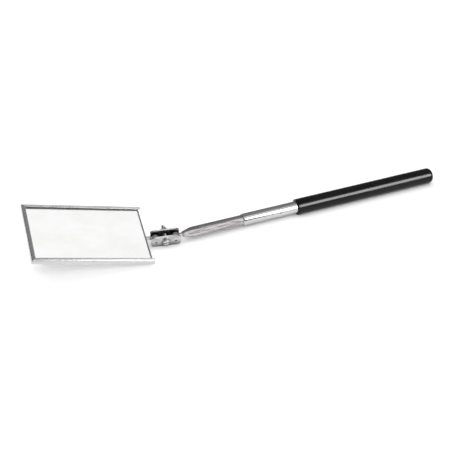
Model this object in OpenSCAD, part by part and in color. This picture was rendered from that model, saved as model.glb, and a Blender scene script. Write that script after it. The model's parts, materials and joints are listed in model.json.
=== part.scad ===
// Telescoping inspection mirror: a framed rectangular mirror on a double ball joint,
// carried by two sliding steel tubes with a vinyl grip.
// The handle lies along X, the grip's end at +X and the mirror at -X. The origin is the
// middle of the grip on the handle's axis, and +Z is up as the tool lies on a bench.

/* [Handle] */
// Length of the vinyl grip
grip_len = 124; // [90:1:150]
// Outer diameter of the grip
grip_od = 12.5; // [11.5:0.1:16]
// Rounding of the grip's closed end
grip_end_round = 3.2; // [1:0.1:4.5]
// Outer diameter of the outer tube, 3/8 inch
outer_od = 9.53; // [9.4:0.01:10]
// Outer tube left bare between its mouth and the grip
outer_show = 46.2; // [35:0.1:60]
// Distance from the outer tube's mouth to its ring of dimples
dimple_back = 30.6; // [15:0.1:33]
// Number of dimples in the ring
dimple_count = 6; // [3:1:8]
// Turn of the ring of dimples about the handle, degrees from the top
dimple_turn = 17; // [0:1:60]

/* [Inner tube] */
// Outer diameter of the inner tube, 5/16 inch
inner_od = 7.94; // [7.6:0.01:7.96]
// Inner tube left bare between the ball's centre and the outer tube's mouth
inner_show = 54.8; // [30:0.1:70]
// How far the inner tube pulls out before its sleeve meets the dimples
travel = 120; // [60:1:124]
// Diameter of the drawn-down nose at its tip
nose_tip_d = 3.9; // [3.4:0.1:5]

/* [Ball joint] */
// Diameter of both balls, 1/4 inch
ball_d = 6.35; // [6.2:0.01:6.5]
// Distance between the two balls' centres
ball_spacing = 15; // [14:0.1:20]
// Inner gap between the two clamp plates
plate_gap = 5.4; // [5.2:0.1:5.6]
// Thickness of a clamp plate
plate_t = 1.3; // [1:0.1:1.6]
// Width of a clamp plate
plate_w = 9.8; // [8:0.1:9.9]
// How far a plate reaches past a ball's centre
plate_overhang = 3.4; // [3:0.1:4.2]
// Diameter of the clamp screw, number 4 thread
screw_d = 2.84; // [2.6:0.01:3]
// Diameter of the mirror's stem
stem_d = 2.6; // [2:0.1:2.8]

/* [Mirror head] */
// Length of the steel case, along the stem
case_len = 90; // [60:0.5:110]
// Width of the steel case
case_w = 54.6; // [36:0.1:70]
// Thickness of the case, from its back to the top of its lips
case_t = 4.2; // [3.8:0.1:5]
// Width of the folded lip that shows around the mirror
lip_w = 2.9; // [1.8:0.1:3.5]
// Distance from the mirror-side ball's centre to the case's rail ends
stem_reach = 7.8; // [7:0.1:12]
// Distance from the lips' top face down to the stem's axis
stem_drop = 5.8; // [5.7:0.1:6.2]

/* [Pose] */
// Turn of the inner tube in the handle, degrees from the screw lying level
tube_turn = 17; // [-180:1:180]
// Tilt of the clamp on the tube's ball, out of the plane of the plates
clamp_tilt = -10.5; // [-12:0.5:12]
// Swing of the clamp about the screw's direction
clamp_swing = -3.6; // [-90:0.1:90]
// Swing of the mirror about the screw's direction
mirror_swing = 16; // [-90:0.5:90]
// Tilt of the mirror's stem out of the plane of the plates
mirror_tilt = 3.2; // [-14:0.1:14]
// Roll of the mirror about its stem
mirror_roll = -2.5; // [-180:0.5:180]

/* [Hidden] */
$fn = 64;
eps = 0.01;

// Running clearance, measured on the radius
run_fit = 0.04;

// Handle
outer_r = outer_od / 2;
outer_wall = 0.49;
outer_bore_r = outer_r - outer_wall;
grip_end_wall = 3;
grip_mouth_round = 0.5;
x_grip = -grip_len / 2;
x_mouth = x_grip - outer_show;
x_outer_end = grip_len / 2 - grip_end_wall;
mouth_lip_len = 1.5;
mouth_round = 0.35;

// Dimples: a round dent outside, with a round bump inside that the sleeve stops against
x_dimple = x_mouth + dimple_back;
dent_r = 2.0;
bump_r = 2.4;

// Inner tube and the split sleeve in the groove at its rear
inner_r = inner_od / 2;
inner_wall = 0.5;
bump_reach = inner_r + 0.06;
dimple_axis_r = bump_reach + bump_r;
sleeve_len = 8;
sleeve_wall = 0.73;
sleeve_slot = 1;
sleeve_play = 0.05;
sleeve_r = outer_bore_r - 0.05;
groove_r = sleeve_r - sleeve_wall - run_fit;
groove_wall = 0.5;
end_lip_len = 2;
x_sleeve = x_dimple + 1.1 + travel;
x_groove = x_sleeve - sleeve_play;
x_groove_end = x_sleeve + sleeve_len + sleeve_play;
x_inner_end = x_groove_end + end_lip_len;

// Ball joint: the clamp's own frame has the tube-side ball at its origin, the mirror-side
// ball at -X, the screw along Y with its head at -Y, and the plates' width along Z
ball_r = ball_d / 2;
socket_r = ball_r + run_fit;
x_ball = x_mouth - inner_show;
plate_in = plate_gap / 2;
plate_out = plate_in + plate_t;
dish_r = ball_r + 1.22;
dish_hole_r = 0.7;
screw_r = screw_d / 2;
screw_hole_r = screw_r + 0.05;
head_r = 2.78;
head_h = 1.9;
head_round = 0.9;
slot_w = 0.75;
slot_depth = 1;
washer_r = 2.65;
washer_hole_r = 1.5;
washer_t = 0.64;
washer_split = 0.8;
nut_flats = 6.35;
nut_h = 2.4;
screw_end = 11;
screw_chamfer = 0.35;
// Across the corners of a hexagon, for a given width across its flats
hex_corner_d = nut_flats / cos(30);

// The tube-side stud and the nose that is drawn down onto it, measured from the ball
stud_r = 1.5;
stud_end = 13;
nose_start = 5.6;
nose_full = 14.6;
nose_steps = 9;
nose_bore_end = 12.4;

// Stem of the mirror, measured from its own ball back under the case
stem_r = stem_d / 2;
stem_tail = 30;

// Case, in the head's frame: the ball at the origin, the stem and the case towards -X
sheet = 0.6;
case_round = 1;
x_rails = -stem_reach;
x_case = x_rails - case_len;
z_top = stem_drop;
z_back = z_top - case_t;
rail_past_floor = 1.3;
x_floor_end = x_rails - rail_past_floor;
flange_top = z_top - 1.3;
flange_side_gap = 0.4;
mitre_depth = lip_w + 2;
glass_gap = 0.05;
// The glass clears the round inside of each fold, so its edge gap is the wider one
glass_edge_gap = 0.22;
glass_t = 1.5;
silver_t = 0.12;
x_glass = x_case + sheet + glass_edge_gap;
glass_len = x_floor_end - sheet - glass_edge_gap - x_glass;
glass_w = case_w - 2 * (sheet + glass_edge_gap);
z_glass_top = z_top - sheet - glass_gap;
z_glass = z_glass_top - glass_t;
z_silver = z_glass - silver_t;
pad_t = z_silver - z_back - sheet;
pad_inset = 0.3;

// Bracket that holds the stem against the case's back
bracket_t = 0.8;
bracket_len = 15;
bracket_w = 17;
bracket_inset = 5;
bracket_round = 2;
channel_r = stem_r + 0.05;
x_bracket = x_floor_end - bracket_inset - bracket_len;
rivet_r = 0.8;
rivet_head_r = 1.5;
rivet_head_h = 0.7;
rivet_x = 4;
rivet_y = 6;

// ---- placing ----

// Turns a shape drawn along Z so that it runs along +X from x0
module along_x(x0) {
    translate([x0, 0, 0]) rotate([0, 90, 0]) children();
}

// Turns a shape drawn along Z so that it runs along +Y from y0
module along_y(y0) {
    translate([0, y0, 0]) rotate([-90, 0, 0]) children();
}

// Puts the clamp's frame in place on the tube-side ball
module at_clamp() {
    translate([x_ball, 0, 0])
        rotate([tube_turn, 0, 0])
            rotate([0, 0, clamp_tilt])
                rotate([0, clamp_swing, 0]) children();
}

// Puts the head's frame in place on the mirror-side ball
module at_head() {
    at_clamp()
        translate([-ball_spacing, 0, 0])
            rotate([0, mirror_swing, 0])
                rotate([0, 0, mirror_tilt])
                    rotate([mirror_roll, 0, 0]) children();
}

// ---- shared shapes ----

// A rectangle from the origin with one corner, the far one from both axes, rounded
module far_corner_rounded(w, h, r) {
    difference() {
        square([w, h]);
        translate([w - r, h - r]) difference() {
            square(r + eps);
            circle(r);
        }
    }
}

// A rectangle from the origin whose two corners on the left side are rounded
module left_rounded(w, h, r) {
    translate([r, 0]) square([w - r, h]);
    translate([0, r]) square([w, h - 2 * r]);
    for (y = [r, h - r]) translate([r, y]) circle(r);
}

// A rectangle centred on the origin with all four corners rounded
module rounded_rectangle(w, h, r) {
    square([w - 2 * r, h], center = true);
    square([w, h - 2 * r], center = true);
    for (sx = [-1, 1], sy = [-1, 1])
        translate([sx * (w / 2 - r), sy * (h / 2 - r)]) circle(r);
}

// A round rod along X with a hollow spherical end that sits on its ball
module rod_on_ball(x0, x1, r) {
    difference() {
        along_x(x0) cylinder(h = x1 - x0, r = r);
        sphere(socket_r);
    }
}

// ---- mirror head, drawn in the head's frame ----

// Section of a case rail: u runs inwards from the case's side, v up from its back
module rail_section() {
    difference() {
        left_rounded(lip_w, case_t, case_round);
        translate([sheet, sheet])
            left_rounded(lip_w, case_t - 2 * sheet, case_round - sheet);
    }
}

// One long rail, along the case's -Y side
module side_rail() {
    translate([x_case, -case_w / 2, z_back])
        rotate([90, 0, 90]) linear_extrude(case_len) rail_section();
}

// The short rail across the case's far end, before its mitres are cut
module end_rail() {
    translate([x_case, case_w / 2, z_back])
        rotate([90, 0, 0]) linear_extrude(case_w) rail_section();
}

// The block of space that the end rail owns, with a 45 degree mitre at both corners
module mitre_block() {
    half = case_w / 2 + eps;
    translate([x_case - eps, 0, z_back - eps]) linear_extrude(case_t + 2 * eps)
        polygon([[0, -half], [mitre_depth, mitre_depth - half],
            [mitre_depth, half - mitre_depth], [0, half]]);
}

module mirror_case() {
    inner_w = case_w - 2 * case_round;
    flange_w = case_w - 2 * (sheet + flange_side_gap);
    color("silver") at_head() {
        difference() {
            union() {
                side_rail();
                mirror([0, 1, 0]) side_rail();
            }
            mitre_block();
        }
        intersection() {
            end_rail();
            mitre_block();
        }
        translate([x_case + case_round, -inner_w / 2, z_back])
            cube([x_floor_end - x_case - case_round, inner_w, sheet]);
        translate([x_floor_end - sheet, -flange_w / 2, z_back])
            cube([sheet, flange_w, flange_top - z_back]);
    }
}

module mirror_glass() {
    color("aliceblue", 0.5) at_head()
        translate([x_glass, -glass_w / 2, z_glass]) cube([glass_len, glass_w, glass_t]);
}

module mirror_silvering() {
    color("white") at_head()
        translate([x_glass, -glass_w / 2, z_silver]) cube([glass_len, glass_w, silver_t]);
}

module backing_pad() {
    color("tan") at_head()
        translate([x_glass + pad_inset, pad_inset - glass_w / 2, z_back + sheet])
            cube([glass_len - 2 * pad_inset, glass_w - 2 * pad_inset, pad_t]);
}

// Puts one rivet's shape at each of the bracket's four corners
module at_rivets() {
    for (sx = [-1, 1], sy = [-1, 1])
        translate([x_bracket + bracket_len / 2 + sx * rivet_x, sy * rivet_y, z_back])
            children();
}

module stem_bracket() {
    hump_r = channel_r + bracket_t;
    color("silver") at_head() difference() {
        union() {
            translate([x_bracket + bracket_len / 2, 0, z_back - bracket_t])
                linear_extrude(bracket_t)
                    rounded_rectangle(bracket_len, bracket_w, bracket_round);
            along_x(x_bracket) cylinder(h = bracket_len, r = hump_r);
        }
        translate([x_bracket - eps, -hump_r, z_back])
            cube([bracket_len + 2 * eps, 2 * hump_r, hump_r]);
        along_x(x_bracket - eps) cylinder(h = bracket_len + 2 * eps, r = channel_r);
        translate([x_bracket - eps, -channel_r, 0])
            cube([bracket_len + 2 * eps, 2 * channel_r, hump_r]);
        at_rivets() translate([0, 0, -bracket_t - eps])
            cylinder(h = bracket_t + 2 * eps, r = rivet_r);
    }
}

module bracket_rivets() {
    // Radius of the sphere that a domed head of this width and height is cut from
    dome_r = (rivet_head_r * rivet_head_r + rivet_head_h * rivet_head_h) / (2 * rivet_head_h);
    color("gainsboro") at_head() at_rivets() {
        translate([0, 0, -bracket_t]) cylinder(h = bracket_t, r = rivet_r);
        intersection() {
            translate([0, 0, dome_r - bracket_t - rivet_head_h]) sphere(dome_r);
            translate([0, 0, -bracket_t - rivet_head_h])
                cylinder(h = rivet_head_h, r = rivet_head_r);
        }
    }
}

module mirror_stem() {
    color("lightgray") at_head() rod_on_ball(-stem_tail, 0, stem_r);
}

module mirror_ball() {
    color("lightgray") at_head() sphere(ball_r);
}

// ---- clamp, drawn in the clamp's frame ----

// Outline of a clamp plate: a strip with its ends rounded about the balls, then cropped
module plate_outline() {
    reach = plate_w / 2;
    intersection() {
        union() {
            translate([-ball_spacing, -reach]) square([ball_spacing, plate_w]);
            for (x = [-ball_spacing, 0]) translate([x, 0]) circle(reach);
        }
        translate([-ball_spacing - plate_overhang, -reach - eps])
            square([ball_spacing + 2 * plate_overhang, plate_w + 2 * eps]);
    }
}

// The plate on the screw head's side, with its inner face at -plate_in
module clamp_plate() {
    difference() {
        union() {
            along_y(-plate_out) linear_extrude(plate_t) plate_outline();
            for (x = [-ball_spacing, 0]) intersection() {
                translate([x, 0, 0]) sphere(dish_r);
                translate([x, -plate_in, 0]) rotate([90, 0, 0])
                    cylinder(h = dish_r, r = plate_w / 2 - 0.5);
            }
        }
        for (x = [-ball_spacing, 0]) {
            translate([x, 0, 0]) sphere(socket_r);
            translate([x, 0, 0]) rotate([90, 0, 0]) cylinder(h = dish_r + 1, r = dish_hole_r);
        }
        translate([-ball_spacing / 2, 0, 0]) rotate([90, 0, 0])
            cylinder(h = plate_out + 1, r = screw_hole_r);
    }
}

module clamp_plate_front() {
    color("lightsteelblue") at_clamp() clamp_plate();
}

module clamp_plate_rear() {
    color("lightsteelblue") at_clamp() mirror([0, 1, 0]) clamp_plate();
}

// Puts a shape drawn along Y on the clamp screw's axis
module on_screw() {
    at_clamp() translate([-ball_spacing / 2, 0, 0]) children();
}

module clamp_screw() {
    shank_end = screw_end - screw_chamfer;
    color("silver") on_screw() {
        difference() {
            along_y(-plate_out) mirror([0, 0, 1]) rotate_extrude()
                far_corner_rounded(head_r, head_h, head_round);
            translate([-head_r - eps, -plate_out - head_h - eps, -slot_w / 2])
                cube([2 * head_r + 2 * eps, slot_depth + eps, slot_w]);
        }
        along_y(-plate_out) cylinder(h = plate_out + shank_end, r = screw_r);
        along_y(shank_end) cylinder(h = screw_chamfer, r1 = screw_r, r2 = screw_r - screw_chamfer);
    }
}

module lock_washer() {
    color("gainsboro") on_screw() difference() {
        along_y(plate_out) cylinder(h = washer_t, r = washer_r);
        along_y(plate_out - eps) cylinder(h = washer_t + 2 * eps, r = washer_hole_r);
        translate([0, plate_out - eps, -washer_split / 2])
            cube([washer_r + 1, washer_t + 2 * eps, washer_split]);
    }
}

module clamp_nut() {
    y0 = plate_out + washer_t;
    color("gainsboro") on_screw() difference() {
        along_y(y0) cylinder(h = nut_h, d = hex_corner_d, $fn = 6);
        along_y(y0 - eps) cylinder(h = nut_h + 2 * eps, r = screw_hole_r);
    }
}

module tube_ball() {
    color("lightgray") translate([x_ball, 0, 0]) sphere(ball_r);
}

// ---- handle, drawn along X ----

module ball_stud() {
    color("lightgray") translate([x_ball, 0, 0]) rod_on_ball(0, stud_end, stud_r);
}

// Radius of the drawn-down nose at a fraction t of its length, tip first
function nose_r(t) = nose_tip_d / 2 + (inner_r - nose_tip_d / 2) * sin(90 * t);

// Distance along the handle from the ball to that fraction of the nose
function nose_x(t) = x_ball + nose_start + (nose_full - nose_start) * t;

module inner_tube() {
    bore_r = inner_r - inner_wall;
    // The groove's wall follows the groove, so the bore narrows there too
    groove_bore_r = groove_r - groove_wall;
    outside = concat(
        [for (i = [0 : nose_steps]) [nose_r(i / nose_steps), nose_x(i / nose_steps)]],
        [[inner_r, x_groove], [groove_r, x_groove], [groove_r, x_groove_end],
            [inner_r, x_groove_end], [inner_r, x_inner_end]]);
    inside = [[groove_bore_r, x_inner_end], [groove_bore_r, x_groove - groove_wall],
        [bore_r, x_groove - 2 * groove_wall], [bore_r, x_ball + nose_full + 2],
        [stud_r, x_ball + nose_bore_end], [stud_r, nose_x(0)]];
    color("silver") along_x(0) rotate_extrude() polygon(concat(outside, inside));
}

module friction_sleeve() {
    color("goldenrod") difference() {
        along_x(x_sleeve) cylinder(h = sleeve_len, r = sleeve_r);
        along_x(x_sleeve - eps) cylinder(h = sleeve_len + 2 * eps, r = sleeve_r - sleeve_wall);
        translate([x_sleeve - eps, -sleeve_slot / 2, 0])
            cube([sleeve_len + 2 * eps, sleeve_slot, sleeve_r + 1]);
    }
}

// Puts a shape at the middle of each dimple's sphere
module at_dimples() {
    for (i = [0 : dimple_count - 1])
        rotate([dimple_turn + i * 360 / dimple_count, 0, 0])
            translate([x_dimple, 0, dimple_axis_r]) children();
}

module outer_tube() {
    length = x_outer_end - x_mouth;
    lip_bore_r = inner_r + run_fit;
    color("gainsboro") difference() {
        union() {
            difference() {
                along_x(x_outer_end) mirror([0, 0, 1]) rotate_extrude()
                    far_corner_rounded(outer_r, length, mouth_round);
                along_x(x_mouth + mouth_lip_len) cylinder(h = length, r = outer_bore_r);
                along_x(x_mouth - eps) cylinder(h = length, r = lip_bore_r);
            }
            intersection() {
                at_dimples() sphere(bump_r);
                along_x(x_dimple - bump_r) cylinder(h = 2 * bump_r, r = outer_bore_r + eps);
            }
        }
        at_dimples() sphere(dent_r);
    }
}

module grip() {
    color("black") difference() {
        along_x(x_grip) rotate_extrude()
            far_corner_rounded(grip_od / 2, grip_len, grip_end_round);
        along_x(x_grip - eps) cylinder(h = x_outer_end - x_grip + eps, r = outer_r);
        // The mouth's edge is eased by a shallow cone
        along_x(x_grip - eps) difference() {
            cylinder(h = grip_mouth_round, r = grip_od / 2 + 1);
            cylinder(h = grip_mouth_round, r1 = grip_od / 2 - grip_mouth_round, r2 = grip_od / 2);
        }
    }
}

mirror_glass();
mirror_silvering();
backing_pad();
mirror_case();
stem_bracket();
bracket_rivets();
mirror_stem();
mirror_ball();
clamp_plate_front();
clamp_plate_rear();
clamp_screw();
lock_washer();
clamp_nut();
tube_ball();
ball_stud();
inner_tube();
friction_sleeve();
outer_tube();
grip();
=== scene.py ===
import json
import math

import bmesh
import bpy
from mathutils import Matrix, Vector, noise

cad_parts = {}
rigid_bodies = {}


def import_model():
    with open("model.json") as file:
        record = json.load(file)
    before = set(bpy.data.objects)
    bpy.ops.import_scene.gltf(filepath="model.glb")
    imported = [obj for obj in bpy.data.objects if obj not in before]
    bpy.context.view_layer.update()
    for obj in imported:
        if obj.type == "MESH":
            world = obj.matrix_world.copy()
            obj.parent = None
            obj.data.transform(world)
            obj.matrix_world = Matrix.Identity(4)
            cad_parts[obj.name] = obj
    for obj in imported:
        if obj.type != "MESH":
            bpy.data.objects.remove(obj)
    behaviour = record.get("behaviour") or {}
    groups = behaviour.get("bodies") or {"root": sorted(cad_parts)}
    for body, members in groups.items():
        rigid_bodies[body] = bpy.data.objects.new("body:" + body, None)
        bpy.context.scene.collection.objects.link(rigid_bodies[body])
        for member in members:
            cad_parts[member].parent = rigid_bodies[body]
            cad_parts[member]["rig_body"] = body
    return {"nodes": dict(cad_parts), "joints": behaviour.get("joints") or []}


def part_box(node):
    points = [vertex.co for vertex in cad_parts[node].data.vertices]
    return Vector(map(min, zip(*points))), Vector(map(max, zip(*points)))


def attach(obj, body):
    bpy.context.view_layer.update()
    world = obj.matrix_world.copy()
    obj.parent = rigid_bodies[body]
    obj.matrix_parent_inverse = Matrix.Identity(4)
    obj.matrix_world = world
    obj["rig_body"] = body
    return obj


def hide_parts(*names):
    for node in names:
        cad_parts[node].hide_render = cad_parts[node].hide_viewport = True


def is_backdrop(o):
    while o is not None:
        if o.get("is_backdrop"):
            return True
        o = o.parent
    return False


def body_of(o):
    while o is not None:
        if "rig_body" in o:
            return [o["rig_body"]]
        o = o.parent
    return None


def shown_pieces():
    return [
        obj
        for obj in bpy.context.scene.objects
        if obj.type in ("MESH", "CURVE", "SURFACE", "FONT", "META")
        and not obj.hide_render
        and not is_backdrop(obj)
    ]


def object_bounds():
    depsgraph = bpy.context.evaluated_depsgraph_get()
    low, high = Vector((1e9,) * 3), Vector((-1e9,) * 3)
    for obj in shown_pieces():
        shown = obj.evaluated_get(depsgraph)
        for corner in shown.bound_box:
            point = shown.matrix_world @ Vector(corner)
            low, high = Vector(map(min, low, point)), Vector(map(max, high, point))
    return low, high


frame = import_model()
cad_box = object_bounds()

# Everything below is drawn in millimetres, and MM turns it into the frame's metres.
MM = 0.001
RING = 96

# ---- sizes of the CAD model that the looks follow ----

GRIP_R, GRIP_END_ROUND, GRIP_MOUTH_ROUND, GRIP_END_WALL = 6.25, 3.2, 0.5, 3.0
OUTER_R, OUTER_WALL, OUTER_LIP_LEN, OUTER_LIP_BORE = 4.765, 0.49, 1.5, 4.01
DIMPLE_BACK, DIMPLES, DIMPLE_TURN = 30.6, 6, 17.0
DENT_DEPTH, BUMP_HEIGHT, DENT_REACH = 0.335, 0.24, 1.75
INNER_R, INNER_WALL = 3.97, 0.5
NOSE_TIP_R, NOSE_START, NOSE_FULL, NOSE_BORE_END = 1.95, 5.6, 14.6, 12.4
GROOVE_X, GROOVE_END_X, INNER_END_X, GROOVE_R, GROOVE_WALL = 43.45, 51.55, 53.55, 3.455, 0.5
STUD_R, STUD_END, STEM_R, STEM_TAIL = 1.5, 13.0, 1.3, 30.0
BALL_R, SOCKET_R, BALL_SPACING = 3.175, 3.215, 15.0
PLATE_IN, PLATE_T, PLATE_W, PLATE_OVERHANG = 2.7, 1.3, 9.8, 3.4
DISH_BASE_R, DISH_RISE, DISH_HOLE_R, SCREW_HOLE_R = 2.35, 0.385, 0.7, 1.47
SCREW_R, HEAD_R, HEAD_H, HEAD_ROUND, SCREW_END = 1.42, 2.78, 1.9, 0.9, 11.0
SLOT_W, SLOT_DEPTH, THREAD_PITCH, THREAD_DEPTH = 0.75, 1.0, 0.635, 0.34
WASHER_R, WASHER_HOLE_R, WASHER_T, WASHER_SPLIT = 2.65, 1.5, 0.64, 0.8
NUT_FLATS, NUT_H = 6.35, 2.4
CASE_LEN, CASE_W, CASE_T, CASE_ROUND, SHEET, LIP_W = 90.0, 54.6, 4.2, 1.0, 0.6, 2.9
STEM_REACH, STEM_DROP, RAIL_PAST_FLOOR, FLANGE_H = 7.8, 5.8, 1.3, 2.9
# Folded sheet springs back a little: the degrees by which each lip's inner edge stands up
LONG_LIP_SPRING, END_LIP_SPRING, MITRE_SPRING = 3.0, 9.0, 6.0
GLASS_EDGE_GAP, GLASS_GAP, GLASS_T, SILVER_T, GLASS_BEVEL = 0.22, 0.05, 1.5, 0.12, 0.28
BRACKET_LEN, BRACKET_W, BRACKET_T, BRACKET_ROUND, BRACKET_INSET = 15.0, 17.0, 0.8, 2.0, 5.0
RIVET_R, RIVET_HEAD_H, RIVET_X, RIVET_Y = 1.5, 0.7, 4.0, 6.0

X_RAILS = -STEM_REACH
X_CASE = X_RAILS - CASE_LEN
X_FLOOR_END = X_RAILS - RAIL_PAST_FLOOR
Z_TOP = STEM_DROP
Z_BACK = Z_TOP - CASE_T

# ---- places, all taken from the frame ----


def joint(name):
    return next(j for j in frame["joints"] if j["name"] == name)


def place_at(origin, x, z):
    """The place with this origin, this X axis and a Z axis as near to z as can be."""
    x = Vector(x).normalized()
    y = Vector(z).cross(x).normalized()
    turned = Matrix((x, y, x.cross(y))).transposed().to_4x4()
    turned.translation = Vector(origin)
    return turned


def head_normal():
    """The way the mirror's glass faces, from the largest face of its CAD solid."""
    largest = max(frame["nodes"]["mirror_glass"].data.polygons, key=lambda p: p.area)
    up = Vector(joint("mirror_tilt")["axis"])
    return largest.normal if largest.normal.dot(up) > 0 else -largest.normal


TUBE_BALL = Vector(joint("handle_tilt")["pos_m"])
HEAD_BALL = Vector(joint("mirror_swing")["pos_m"])
CLAMP_X = TUBE_BALL - HEAD_BALL
CLAMP_Y = Vector(joint("handle_swing")["axis"])
HANDLE = Matrix.Identity(4)
NOSE = Matrix.Translation(TUBE_BALL)
CLAMP = place_at(TUBE_BALL, CLAMP_X, CLAMP_X.cross(CLAMP_Y))
HEAD = place_at(HEAD_BALL, joint("mirror_roll")["axis"], head_normal())
# Along the clamp's screw, X runs from its head towards its nut
SCREW = place_at(joint("screw_turn")["pos_m"], CLAMP_Y, CLAMP_X.cross(CLAMP_Y))
X_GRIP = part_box("grip")[0].x / MM
X_GRIP_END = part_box("grip")[1].x / MM
X_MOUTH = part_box("outer_tube")[0].x / MM
X_OUTER_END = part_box("outer_tube")[1].x / MM

# ---- mesh helpers ----


def arc(cx, cy, r, start, end, steps=6):
    """Points round (cx, cy), with angles in degrees."""
    angles = [math.radians(start + (end - start) * i / steps) for i in range(steps + 1)]
    return [(cx + r * math.cos(a), cy + r * math.sin(a)) for a in angles]


def spread(start, end, step):
    """Evenly spaced values from start to end, about step apart."""
    n = max(1, round(abs(end - start) / step))
    return [start + (end - start) * i / n for i in range(n + 1)]


def skin(rings, wrap=True, loop=False):
    """The faces over rings of points, where a ring of one point is a pole."""
    verts, faces, starts = [], [], []
    for ring in rings:
        starts.append(len(verts))
        verts += ring
    pairs = list(zip(range(len(rings) - 1), range(1, len(rings))))
    if loop:
        pairs.append((len(rings) - 1, 0))
    for a, b in pairs:
        na, nb = len(rings[a]), len(rings[b])
        count = max(na, nb)
        for k in range(count if wrap else count - 1):
            after = (k + 1) % count
            corners = [starts[a] + k % na, starts[a] + after % na,
                       starts[b] + after % nb, starts[b] + k % nb]
            corners = list(dict.fromkeys(corners))
            if len(corners) > 2:
                faces.append(corners)
    return verts, faces


def ring_at(x, r, count, shape=None):
    """A ring about X, with shape(x, angle, r) giving the radius where it isn't round."""
    if r < 1e-6:
        return [(x, 0.0, 0.0)]
    made = []
    for k in range(count):
        a = 2 * math.pi * k / count
        radius = shape(x, a, r) if shape else r
        made.append((x, radius * math.cos(a), radius * math.sin(a)))
    return made


def lathe(profile, count=RING, shape=None, loop=False):
    """A profile of (x, r) points turned about X."""
    return skin([ring_at(x, r, count, shape) for x, r in profile], loop=loop)


def capped(loops):
    """A closed skin over loops of points, with a flat cap on the first and the last."""
    verts, faces = skin(loops)
    n = len(loops[0])
    faces.append(list(range(n)))
    faces.append(list(range(len(verts) - n, len(verts))))
    return verts, faces


def slab(x0, x1, half_w, z0, z1):
    """A box between two places along X, centred across Y."""
    corners = ((-half_w, z0), (half_w, z0), (half_w, z1), (-half_w, z1))
    return capped([[(x, y, z) for y, z in corners] for x in (x0, x1)])


def mesh_object(name, place, shells):
    """An object made of shells of (verts, faces), whose place goes into its vertices."""
    mesh = bpy.data.meshes.new(name)
    bm = bmesh.new()
    for verts, faces in shells:
        made = [bm.verts.new(place @ (Vector(v) * MM)) for v in verts]
        for face in faces:
            bm.faces.new([made[i] for i in face])
    bmesh.ops.remove_doubles(bm, verts=bm.verts, dist=1e-7)
    bmesh.ops.recalc_face_normals(bm, faces=bm.faces)
    bm.to_mesh(mesh)
    bm.free()
    obj = bpy.data.objects.new(name, mesh)
    bpy.context.scene.collection.objects.link(obj)
    return obj


def piece(name, body, nodes, slot, material, place, shells, sharp=35.0, bevel=0.0, bevel_steps=3):
    """A piece that stands for CAD nodes: edges over sharp degrees stay sharp, bevel is in mm."""
    obj = mesh_object(name, place, shells)
    obj.data.shade_smooth()
    obj.data.set_sharp_from_angle(angle=math.radians(sharp))
    obj.data.materials.append(material)
    if bevel:
        edges = obj.modifiers.new("edges", "BEVEL")
        edges.width = bevel * MM
        edges.segments = bevel_steps
        edges.limit_method = "ANGLE"
        edges.angle_limit = math.radians(40)
        edges.harden_normals = True
    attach(obj, body)
    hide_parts(*nodes)
    return obj


# ---- material helpers ----


def new_material(name, **values):
    mat = bpy.data.materials.new(name)
    mat.use_nodes = True
    for socket, value in values.items():
        shader_of(mat).inputs[socket.replace("_", " ")].default_value = value
    return mat


def shader_of(mat):
    return mat.node_tree.nodes["Principled BSDF"]


def grain(mat, size, detail=3.0, rough=0.55, warp=0.0):
    """Noise with a grain of size = (x, y, z) millimetres in the piece's own space."""
    nodes, links = mat.node_tree.nodes, mat.node_tree.links
    coords = nodes.new("ShaderNodeTexCoord")
    mapping = nodes.new("ShaderNodeMapping")
    mapping.inputs["Scale"].default_value = [1 / (s * MM) for s in size]
    tex = nodes.new("ShaderNodeTexNoise")
    tex.inputs["Scale"].default_value = 1.0
    tex.inputs["Detail"].default_value = detail
    tex.inputs["Roughness"].default_value = rough
    tex.inputs["Distortion"].default_value = warp
    links.new(coords.outputs["Object"], mapping.inputs["Vector"])
    links.new(mapping.outputs["Vector"], tex.inputs["Vector"])
    return tex.outputs["Fac"]


def ranged(mat, value, low, high, out_low, out_high):
    """The value, taken smoothly from low..high to out_low..out_high."""
    nodes, links = mat.node_tree.nodes, mat.node_tree.links
    node = nodes.new("ShaderNodeMapRange")
    node.interpolation_type = "SMOOTHSTEP"
    for socket, number in zip(("From Min", "From Max", "To Min", "To Max"),
                              (low, high, out_low, out_high)):
        node.inputs[socket].default_value = number
    links.new(value, node.inputs["Value"])
    return node.outputs["Result"]


def maths(mat, a, b, operation="ADD"):
    """One operation on two values, each a number or a socket."""
    node = mat.node_tree.nodes.new("ShaderNodeMath")
    node.operation = operation
    for socket, value in zip(node.inputs, (a, b)):
        if isinstance(value, (int, float)):
            socket.default_value = value
        else:
            mat.node_tree.links.new(value, socket)
    return node.outputs["Value"]


def blended(mat, factor, dark, light):
    """The colour between dark and light, each a colour or a socket."""
    nodes, links = mat.node_tree.nodes, mat.node_tree.links
    node = nodes.new("ShaderNodeMix")
    node.data_type = "RGBA"
    links.new(factor, node.inputs["Factor"])
    for socket, colour in zip(("A", "B"), (dark, light)):
        target = next(i for i in node.inputs if i.name == socket and i.type == "RGBA")
        if isinstance(colour, (tuple, list)):
            target.default_value = (*colour, 1)
        else:
            links.new(colour, target)
    return next(o for o in node.outputs if o.type == "RGBA")


def wire(mat, output, socket):
    """Links an output to a socket of the material's shader."""
    mat.node_tree.links.new(output, shader_of(mat).inputs[socket])


def bumped(mat, height, depth_mm):
    """Bump whose full height is depth_mm."""
    node = mat.node_tree.nodes.new("ShaderNodeBump")
    node.inputs["Strength"].default_value = 1.0
    node.inputs["Distance"].default_value = depth_mm * MM
    mat.node_tree.links.new(height, node.inputs["Height"])
    wire(mat, node.outputs["Normal"], "Normal")


# ---- materials ----


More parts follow.
